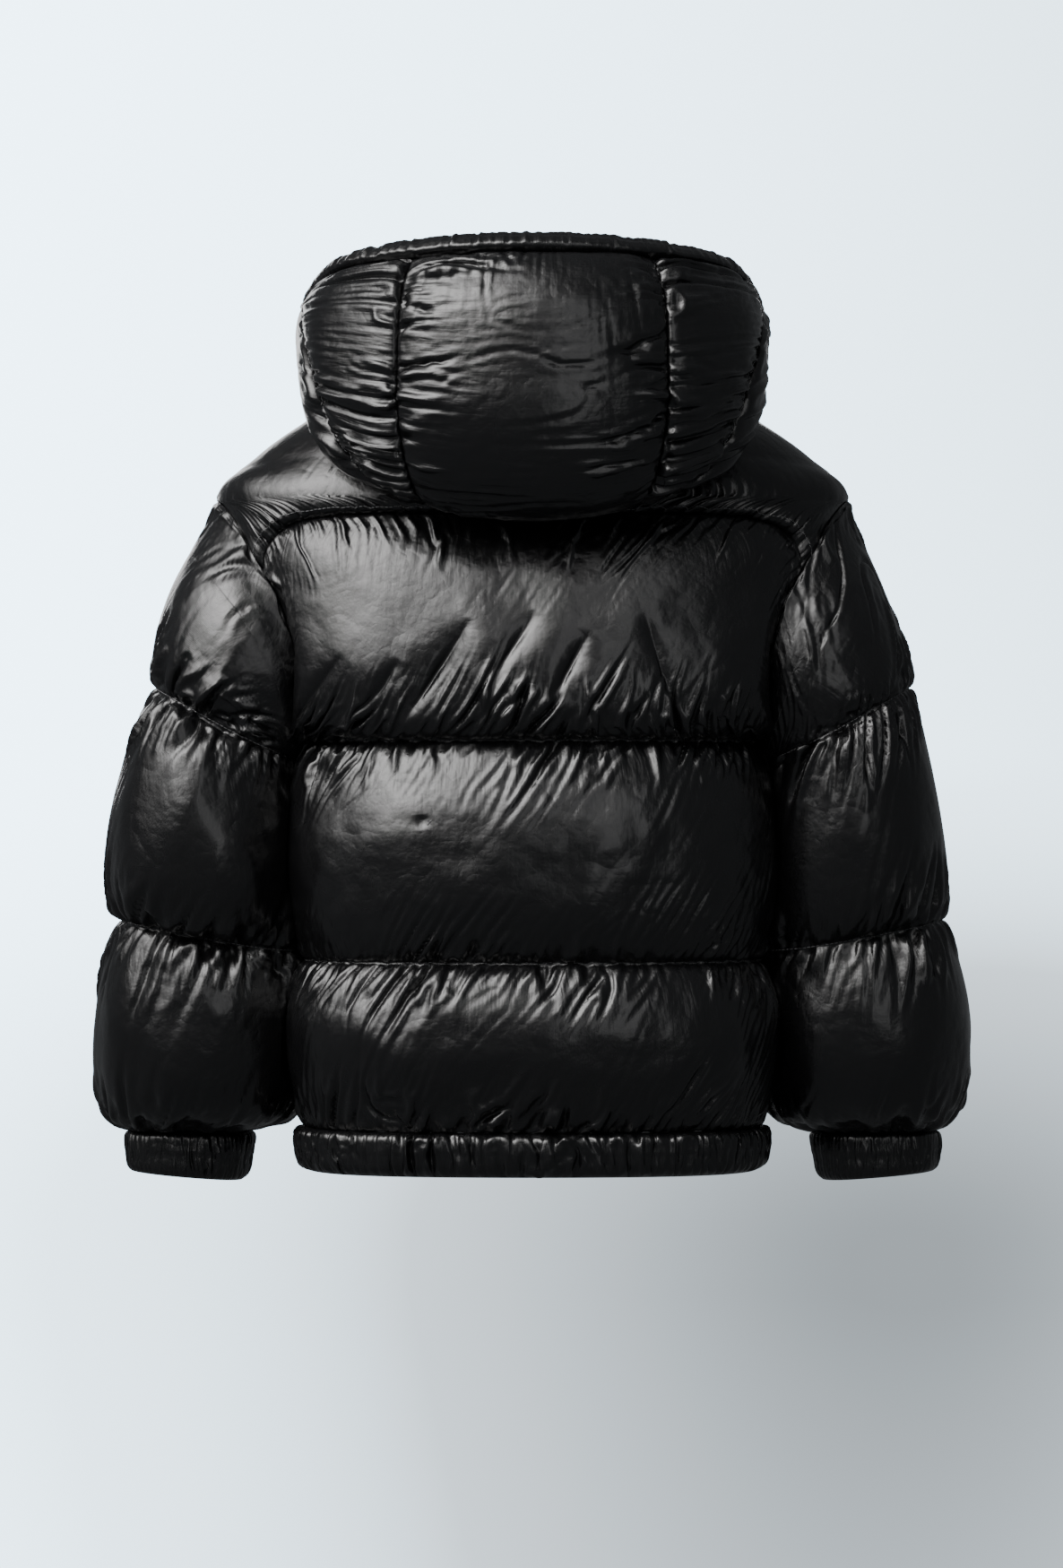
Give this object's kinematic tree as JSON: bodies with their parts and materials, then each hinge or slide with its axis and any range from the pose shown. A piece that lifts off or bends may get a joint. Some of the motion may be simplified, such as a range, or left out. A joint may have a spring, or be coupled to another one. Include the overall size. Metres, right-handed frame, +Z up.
{
  "type": "hooded puffer jacket",
  "caption": "Child's hooded puffer jacket in glossy black, filled out with no wearer: quilted body and sleeves, curved yoke, elastic hem, cuffs and hood edge, closed front zip.",
  "frame": {"origin": "middle of the neck, level with the neck seam at the nape, where the wearer holds the jacket", "axes": "+Z up along the jacket's length, the wearer faces -Y with the zip on that side, +X is the wearer's left"},
  "size_m": [0.6524, 0.3404, 0.6835],
  "materials": {
    "nylon": "glossy coated nylon, fine plain weave",
    "zip_tape": "matt woven tape",
    "zip_metal": "satin black enamel"
  },
  "bodies": {
    "jacket": {"back": "nylon", "back_yoke": "nylon", "front_left": "nylon", "front_right": "nylon", "front_yoke_left": "nylon", "front_yoke_right": "nylon", "sleeve_left_upper": "nylon", "sleeve_left_middle": "nylon", "sleeve_left_lower": "nylon", "sleeve_right_upper": "nylon", "sleeve_right_middle": "nylon", "sleeve_right_lower": "nylon", "cuff_left": "nylon", "cuff_right": "nylon", "hem_band": "nylon", "hood_brim": "nylon", "hood_centre": "nylon", "hood_side_left": "nylon", "hood_side_right": "nylon", "hood_wing_left": "nylon", "hood_wing_right": "nylon", "zip_tape_left": "zip_tape", "zip_tape_right": "zip_tape", "zip_slider": "zip_metal"},
    "zip_pull": {"zip_pull": "zip_metal"}
  },
  "joints": [
    {"name": "zip_pull_hinge", "type": "hinge", "parent": "jacket", "child": "zip_pull", "pos_m": [0, -0.09323, 0.05174], "axis": [-1, 0, 0], "range_deg": [0, 160]}
  ]
}
